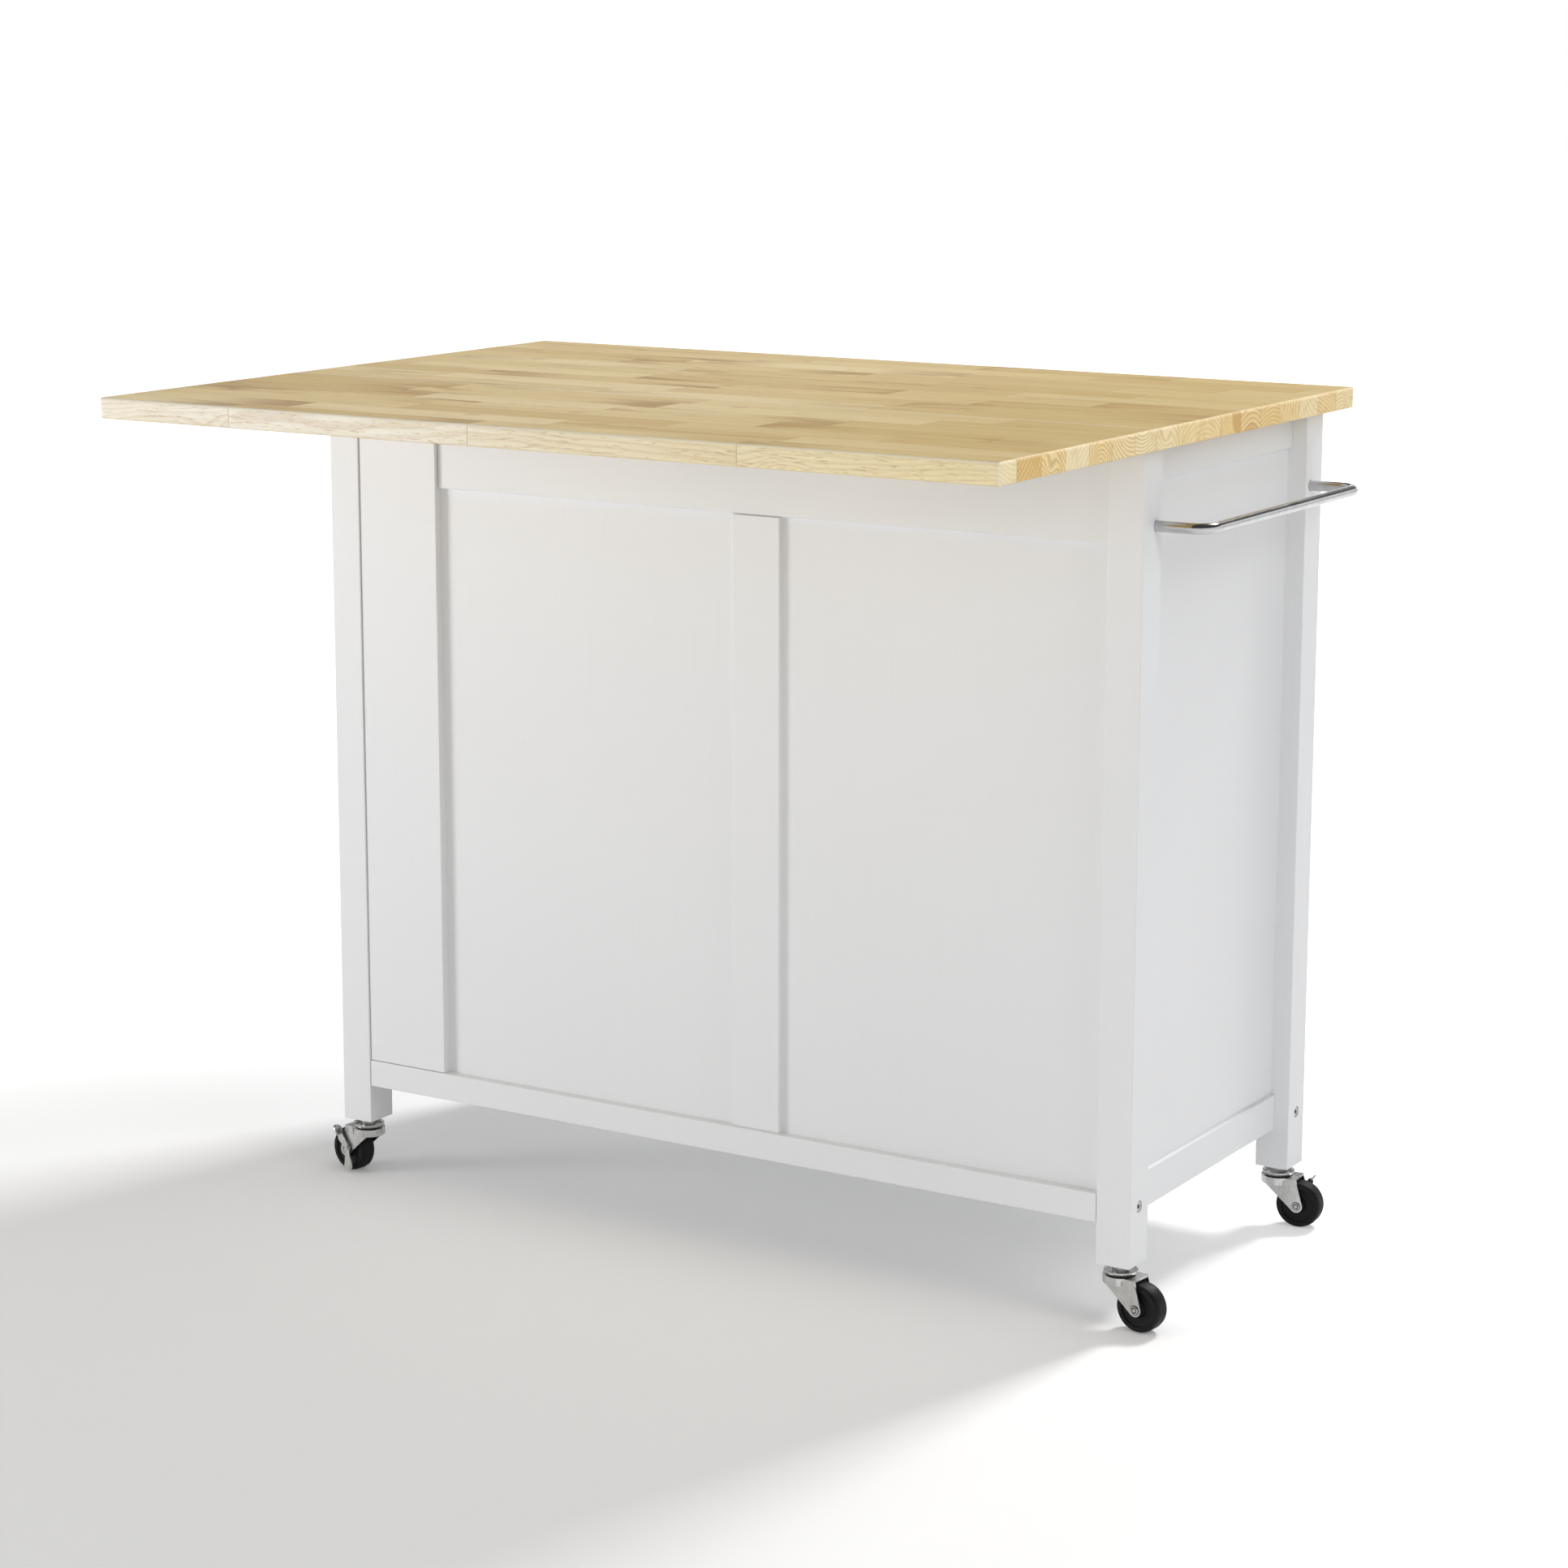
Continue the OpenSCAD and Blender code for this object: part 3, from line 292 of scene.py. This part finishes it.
def painted_wood(name, along):
    """Satin white paint over wood whose faint grain runs along one axis: noise
    squeezed across that axis shows as long low ridges."""
    m = Recipe(name)
    squeeze = [260.0, 260.0, 260.0]
    squeeze["xyz".index(along)] = 7.0
    grain = m.noise(m.stretch(m.place, tuple(squeeze)), 1.0, 3.0, 0.55)
    peel = m.noise(m.place, 520.0, 1.0)
    cloud = m.noise(m.place, 3.0, 2.0)
    colour = m.mix(cloud, (0.809, 0.815, 0.827), (0.837, 0.844, 0.855))
    colour = m.mix(m.between(grain, 0.55, 0.8, 0.0, 0.25), colour, (0.765, 0.77, 0.785))
    m.bump(m.calc("ADD", grain, m.calc("MULTIPLY", peel, 0.5)), 0.10, 0.0003)
    return m.finish(colour, m.between(peel, 0.3, 0.7, 0.40, 0.48))


def bare_wood():
    """Clear-coated light wood with its grain along Y, as drawer sides have it."""
    m = Recipe("bare_wood")
    fibre = m.noise(m.stretch(m.place, (260.0, 5.0, 260.0)), 1.0, 4.0, 0.6)
    figure = m.noise(m.stretch(m.place, (34.0, 1.5, 34.0)), 1.0, 2.0)
    colour = m.ramp(figure, *DRAWER_TONES)
    colour = m.mix(m.between(fibre, 0.4, 0.75, 0.0, 0.3), colour, (0.42, 0.28, 0.14))
    m.bump(fibre, 0.12, 0.0004)
    return m.finish(colour, m.between(fibre, 0.2, 0.8, 0.42, 0.56))


def metal(name, colour, rough, streak, strength):
    """Plated or polished metal: fine marks along one axis give the sheen its
    grain, and a slow cloud gives the plating its uneven tone."""
    m = Recipe(name, Metallic=1.0)
    marks = m.noise(m.stretch(m.place, streak), 1.0, 3.0, 0.6)
    cloud = m.noise(m.place, 90.0, 2.0)
    dark = tuple(0.82 * c for c in colour)
    tone = m.mix(m.calc("MULTIPLY", m.between(cloud, 0.35, 0.7), 0.6), colour, dark)
    m.bump(marks, strength, 0.0002)
    return m.finish(tone, m.between(marks, 0.25, 0.75, rough * 0.8, rough * 1.25))


def black_wheel():
    """Hard black rubber with a moulded grain and a little dust."""
    m = Recipe("wheel_black", Specular_IOR_Level=0.20)
    grain = m.noise(m.place, 900.0, 2.0)
    dust = m.noise(m.place, 70.0, 3.0, 0.65)
    colour = m.mix(m.between(dust, 0.52, 0.8, 0.0, 0.5), (0.007, 0.007, 0.0075), (0.026, 0.026, 0.026))
    m.bump(grain, 0.12, 0.0002)
    return m.finish(colour, m.between(dust, 0.3, 0.7, 0.46, 0.60))


def soft_pad():
    """Clear rubber pads, slightly milky."""
    m = Recipe("soft_pad")
    cloud = m.noise(m.place, 400.0, 2.0)
    colour = m.mix(cloud, (0.55, 0.55, 0.54), (0.62, 0.62, 0.60))
    return m.finish(colour, m.between(cloud, 0.3, 0.7, 0.30, 0.42))


BLOCK = butcher_block()
PAINT = {axis: painted_wood("white_paint_" + axis, axis) for axis in "xyz"}
BARE = bare_wood()
BRACKET = metal("bracket_steel", (0.56, 0.56, 0.55), 0.36, (60.0, 60.0, 700.0), 0.15)
BAR = metal("polished_steel", (0.60, 0.60, 0.61), 0.17, (900.0, 25.0, 900.0), 0.10)
NICKEL = metal("nickel", (0.58, 0.56, 0.53), 0.28, (500.0, 500.0, 500.0), 0.08)
ZINC = metal("zinc_steel", (0.66, 0.66, 0.65), 0.30, (350.0, 350.0, 60.0), 0.12)
WHEEL = black_wheel()
PAD = soft_pad()

# painted nodes whose grain runs along X or Y; that of the others runs upwards
ALONG_X = ("back_top_rail", "back_bottom_rail", "front_top_rail", "front_bottom_rail", "left_drawer_front",
           "right_drawer_front", "cabinet_floor", "left_shelf", "right_shelf")
ALONG_Y = ("end_top_rails", "end_bottom_rails", "rack_lower_shelf", "rack_upper_shelf")
FINISH = {"butcher_block": BLOCK, "bare_wood": BARE, "bracket_steel": BRACKET, "polished_steel": BAR,
          "nickel": NICKEL, "zinc_steel": ZINC, "wheel_black": WHEEL}


def finish_nodes():
    """Gives each CAD node the finish of its slot; paint follows the grain."""
    slots = {s["node"]: s["material_slot"] for s in frame["record"]["subparts"]}
    for name, node in frame["nodes"].items():
        if slots[name] == "white_paint":
            material = PAINT["x" if name in ALONG_X else "y" if name in ALONG_Y else "z"]
        else:
            material = FINISH[slots[name]]
        for held in node.material_slots:
            held.material = material


finish_nodes()

# ---------- shapes worked out on grids ----------


def grid_mesh(name, points, body, material):
    """A piece from grids of points, each (rows, columns, 3) and closed round its
    columns. Equal points, as at a pole, become one."""
    vertices, faces, start = [], [], 0
    for grid in points:
        rows, columns = grid.shape[:2]
        index = start + np.arange(rows * columns).reshape(rows, columns)
        beside = np.roll(index, -1, axis=1)
        faces.append(np.stack([index[:-1], beside[:-1], beside[1:], index[1:]], axis=-1).reshape(-1, 4))
        vertices.append(grid.reshape(-1, 3))
        start += rows * columns
    mesh = bpy.data.meshes.new(name)
    mesh.from_pydata(np.concatenate(vertices).tolist(), [], np.concatenate(faces).tolist())
    work = bmesh.new()
    work.from_mesh(mesh)
    bmesh.ops.remove_doubles(work, verts=work.verts, dist=1e-6)
    bmesh.ops.recalc_face_normals(work, faces=work.faces)
    work.to_mesh(mesh)
    work.free()
    mesh.shade_smooth()
    mesh.materials.append(material)
    piece = bpy.data.objects.new(name, mesh)
    bpy.context.scene.collection.objects.link(piece)
    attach(piece, body)


def turn_to(axis):
    """Columns of the turn that takes +Z to the given axis."""
    axis = np.array(axis, float) / np.linalg.norm(axis)
    side = np.cross(axis, (0.3, 0.9, 0.2))
    side /= np.linalg.norm(side)
    return np.stack([side, np.cross(axis, side), axis], axis=1)


def screw_head(at, axis, radius=0.0030, rise=0.0009, sunk=0.0008, columns=32):
    """A pan head with a cross recess. Height over the seat at radius r and angle
    t is rise * (1 - (r / R)^4), less the depth of the recess where r cos t or
    r sin t is within the width of its arms. Its foot is sunk under the seat."""
    r = radius * np.array([0, 0.12, 0.24, 0.36, 0.48, 0.60, 0.74, 0.88, 0.97, 1.0])[:, None]
    t = np.linspace(0, 2 * np.pi, columns, endpoint=False)[None, :]
    u, v = r * np.cos(t), r * np.sin(t)
    arm = np.minimum(np.abs(u), np.abs(v)) < 0.13 * radius
    depth = 0.55 * rise * (arm & (r < 0.62 * radius))
    w = rise * (1 - (r / radius) ** 4) - depth
    top = np.stack([u, v, np.broadcast_to(w, u.shape)], axis=-1)
    foot = top[-1:].copy()
    foot[..., 2] = -sunk
    heart = np.zeros_like(foot)
    heart[..., 2] = -sunk
    local = np.concatenate([top, foot, heart])
    return np.array(at) + local @ turn_to(axis).T


def soft_block(lo, hi, corner=6.0, rows=18, columns=32):
    """A block with soft edges: |x/a|^n + |y/b|^n + |z/c|^n = 1, over longitude and
    latitude, with n the corner power."""
    lo, hi = np.array(lo), np.array(hi)
    half, middle = (hi - lo) / 2, (hi + lo) / 2
    latitude = np.linspace(-np.pi / 2, np.pi / 2, rows)[:, None]
    longitude = np.linspace(0, 2 * np.pi, columns, endpoint=False)[None, :]
    ray = np.stack([np.cos(latitude) * np.cos(longitude), np.cos(latitude) * np.sin(longitude),
                    np.broadcast_to(np.sin(latitude), (rows, columns))], axis=-1)
    reach = np.sum(np.abs(ray) ** corner, axis=-1, keepdims=True) ** (-1 / corner)
    return middle + ray * reach * half


def dome(at, axis, radius, rise, columns=24):
    """A round pad: height rise * sqrt(1 - (r / R)^2) over its seat."""
    r = radius * np.sin(np.linspace(0, np.pi / 2, 8))[:, None]
    t = np.linspace(0, 2 * np.pi, columns, endpoint=False)[None, :]
    w = np.broadcast_to(rise * np.sqrt(np.maximum(1 - (r / radius) ** 2, 0)), (8, columns))
    top = np.stack([r * np.cos(t), r * np.sin(t), w], axis=-1)
    heart = np.zeros_like(top[:1])
    return np.array(at) + np.concatenate([top, heart]) @ turn_to(axis).T


# ---------- small hardware ----------


def ring_band(at, axis, inner, outer, rise=0.00012, columns=40):
    """A flat ring: its section runs from the inner radius to the outer one, and
    its middle stands rise higher than its edges."""
    r = np.array([inner, (inner + outer) / 2, outer, (inner + outer) / 2, inner])[:, None]
    t = np.linspace(0, 2 * np.pi, columns, endpoint=False)[None, :]
    w = np.broadcast_to(np.array([0.0, rise, 0.0, -rise, 0.0])[:, None], (5, columns))
    return np.array(at) + np.stack([r * np.cos(t), r * np.sin(t), w], axis=-1) @ turn_to(axis).T


def caster_painted_shade():
    """Painted shade: dark rings in the groove of each axle rivet and round its rim, where shade falls."""
    for joint in frame["record"]["behaviour"]["joints"]:
        if joint["name"].endswith("_wheel_spin"):
            caster = joint["name"][:-len("_wheel_spin")]
            middle, axis = np.array(joint["pos_m"]), np.array(joint["axis"])
            bands = []
            for side in (-1, 1):
                for out, inner, outer in PAINTED_SHADE_RINGS:
                    bands.append(ring_band(middle + side * out * axis, side * axis, inner, outer))
            # painted shade: these dark rings stand for the shade in the rivet grooves
            grid_mesh(caster + "_painted_shade", bands, caster + "_swivel", WHEEL)


def leaf_screws():
    """Screws of the leaf brackets and of the leaf arms."""
    bracket_lo, bracket_hi = (np.array(c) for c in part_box("leaf_brackets"))
    pitch = (bracket_hi[0] - bracket_lo[0] - BRACKET_WIDTH) / 2
    middles = (bracket_lo[0] + bracket_hi[0]) / 2 + pitch * np.array([-1, 0, 1])
    plate_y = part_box("back_top_rail")[1][1] + PLATE
    heads = [screw_head((x + dx, plate_y, LEAF_LO[2] - dz), (0, 1, 0))
             for x in middles for dx in (-0.018, 0.018) for dz in (0.009, 0.028)]
    grid_mesh("bracket_screws", heads, "cabinet", ZINC)
    heads = [screw_head((x + dx, SEAM_Y + dy, LEAF_LO[2] - PLATE), (0, 0, -1))
             for x in middles for dx in (-0.0062, 0.0062) for dy in (0.035, 0.115, 0.195)]
    grid_mesh("arm_screws", heads, "leaf", ZINC)


def door_catches():
    """Magnetic catches on the centre partition, the plates on the doors that they
    hold, and the pads that the doors close on."""
    part_lo, part_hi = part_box("centre_partition")
    catches = []
    for side, face_x in (("left", part_lo[0]), ("right", part_hi[0])):
        out = -1 if side == "left" else 1
        frame_lo, frame_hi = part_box(side + "_door_frame")
        back_y = frame_hi[1]
        top = frame_hi[2] - BELOW_TOP
        near = min(face_x, face_x + out * CATCH[0])
        catches.append(soft_block((near, back_y + 0.0016, top - CATCH[2]),
                                  (near + CATCH[0], back_y + 0.0016 + CATCH[1], top), 10.0))
        if side == "left":
            door_x, edge_x = frame_hi[0], max(frame_hi[0], face_x - CATCH_REACH)
        else:
            door_x, edge_x = frame_lo[0], min(frame_lo[0], face_x + CATCH_REACH)
        lo_x, hi_x = sorted((edge_x + out * 0.012, edge_x + out * 0.0005))
        strike = soft_block((lo_x, back_y - 0.0002, top - 0.036), (hi_x, back_y + 0.0012, top - 0.010), 10.0)
        grid_mesh(side + "_door_strike", [strike], side + "_door", ZINC)
        pads = [dome((door_x + out * 0.007, back_y, z), (0, 1, 0), 0.004, 0.0015)
                for z in (frame_lo[2] + 0.012, frame_hi[2] - 0.008)]
        grid_mesh(side + "_door_pads", pads, side + "_door", PAD)
    grid_mesh("door_catches", catches, "cabinet", PAD)


leaf_screws()
door_catches()
caster_painted_shade()

# ---------- floor, light and camera ----------


def studio_floor():
    """A pale floor that keeps the island's shadow. Camera and mirror rays see
    white added, more of it further off: the floor runs into a white background."""
    m = Recipe("studio_floor", Roughness=0.9, Specular_IOR_Level=0.1)
    grain = m.noise(m.place, 6.0, 2.0)
    m.finish(m.mix(grain, (0.89, 0.89, 0.89), (0.90, 0.90, 0.90)))
    path = m.step("ShaderNodeLightPath")
    mirrored = m.calc("MULTIPLY", path.outputs["Is Glossy Ray"], MIRRORED_GLOW)
    seen = m.calc("MAXIMUM", path.outputs["Is Camera Ray"], mirrored)
    shadow_at = (0.2, 0.6, 0.0)
    away = m.step("ShaderNodeVectorMath", {0: m.place, 1: shadow_at}, operation="DISTANCE").outputs["Value"]
    lift = m.between(away, 0.85, 1.9, 0.11, 1.0)
    glow = m.step("ShaderNodeEmission", {"Color": (1, 1, 1, 1), "Strength": m.calc("MULTIPLY", seen, lift)})
    both = m.step("ShaderNodeAddShader", {0: m.shader.outputs[0], 1: glow.outputs[0]})
    output = next(n for n in m.tree.nodes if n.type == "OUTPUT_MATERIAL")
    m.feed(output.inputs["Surface"], both.outputs[0])
    reach = 30.0
    corners = [(-reach, -reach, 0), (reach, -reach, 0), (reach, reach, 0), (-reach, reach, 0)]
    mesh = bpy.data.meshes.new("floor")
    mesh.from_pydata(corners, [], [(0, 1, 2, 3)])
    mesh.materials.append(m.material)
    floor = bpy.data.objects.new("floor", mesh)
    bpy.context.scene.collection.objects.link(floor)


def studio_world(strength):
    """White to the camera, white with a dark ceiling in mirrors, and a plainer
    white as light."""
    world = bpy.data.worlds.new("studio")
    bpy.context.scene.world = world
    world.use_nodes = True
    tree = world.node_tree

    def step(kind, *inputs, **settings):
        node = tree.nodes.new(kind)
        for key, value in settings.items():
            setattr(node, key, value)
        for socket, value in zip(node.inputs, inputs):
            if isinstance(value, bpy.types.NodeSocket):
                tree.links.new(value, socket)
            else:
                socket.default_value = value
        return node

    path = step("ShaderNodeLightPath")
    up = step("ShaderNodeSeparateXYZ", step("ShaderNodeTexCoord").outputs["Generated"]).outputs[2]
    ceiling = step("ShaderNodeMapRange", up, 0.20, 0.32, 1.0, 0.06).outputs[0]
    mirrored = step("ShaderNodeMapRange", path.outputs["Is Glossy Ray"], 0.0, 1.0, strength, ceiling).outputs[0]
    level = step("ShaderNodeMapRange", path.outputs["Is Camera Ray"], 0.0, 1.0, mirrored, 1.0).outputs[0]
    background = tree.nodes["Background"]
    background.inputs["Color"].default_value = (1, 1, 1, 1)
    tree.links.new(level, background.inputs["Strength"])


def placed(columns, at):
    """The matrix whose turn has these columns and which moves to a place."""
    return Matrix([[*columns[row], at[row]] for row in range(3)] + [[0, 0, 0, 1]])


def softbox(name, at, towards, size, watts, mirrored=True):
    """A square lamp at a place, turned to face another. A lamp that only fills in
    the shadows isn't mirrored in metal."""
    lamp = bpy.data.lights.new(name, "AREA")
    lamp.shape = "SQUARE"
    lamp.size = size
    lamp.energy = watts
    holder = bpy.data.objects.new(name, lamp)
    bpy.context.scene.collection.objects.link(holder)
    back = np.array(at, float) - np.array(towards, float)
    holder.matrix_world = placed(turn_to(back), at)
    holder.visible_camera = False
    holder.visible_glossy = mirrored


def set_camera():
    """The photograph's view: a long lens from behind and above the bar end. The
    lens is shifted a little, and the pitch does the rest. Angles are in degrees."""
    place = (-2.0457, 3.260, 1.304)
    yaw, pitch, roll = (math.radians(a) for a in (31.57, 10.83, -0.078))
    forward = np.array([math.sin(yaw) * math.cos(pitch), -math.cos(yaw) * math.cos(pitch), -math.sin(pitch)])
    right = np.array([-math.cos(yaw), -math.sin(yaw), 0.0])
    down = -np.cross(right, forward)
    rolled_right = right * math.cos(roll) + down * math.sin(roll)
    rolled_down = -right * math.sin(roll) + down * math.cos(roll)
    columns = np.stack([rolled_right, -rolled_down, -forward], axis=1)
    data = bpy.data.cameras.new("camera")
    data.sensor_width = SENSOR
    data.lens = FOCAL_PIXELS / PHOTO_PIXELS * SENSOR
    data.shift_y = -0.04
    data.clip_start, data.clip_end = 0.1, 100.0
    camera = bpy.data.objects.new("camera", data)
    bpy.context.scene.collection.objects.link(camera)
    camera.matrix_world = placed(columns, place)
    bpy.context.scene.camera = camera


studio_floor()
studio_world(0.35)
softbox("key_lamp", (-1.25, -4.60, 5.08), (0.0, 0.0, 0.4), 1.26, 280)
softbox("side_lamp", (2.9, 2.3, 0.8), (0.1, 0.0, 0.5), 1.2, 47)
softbox("front_lamp", (-0.6, 2.8, 0.9), (0.0, 0.0, 0.5), 2.2, 12, False)
softbox("end_lamp", (-2.9, 0.5, 2.1), (-0.4, 0.0, 0.6), 1.4, 20, False)
set_camera()
bpy.context.scene.view_settings.view_transform = "Standard"
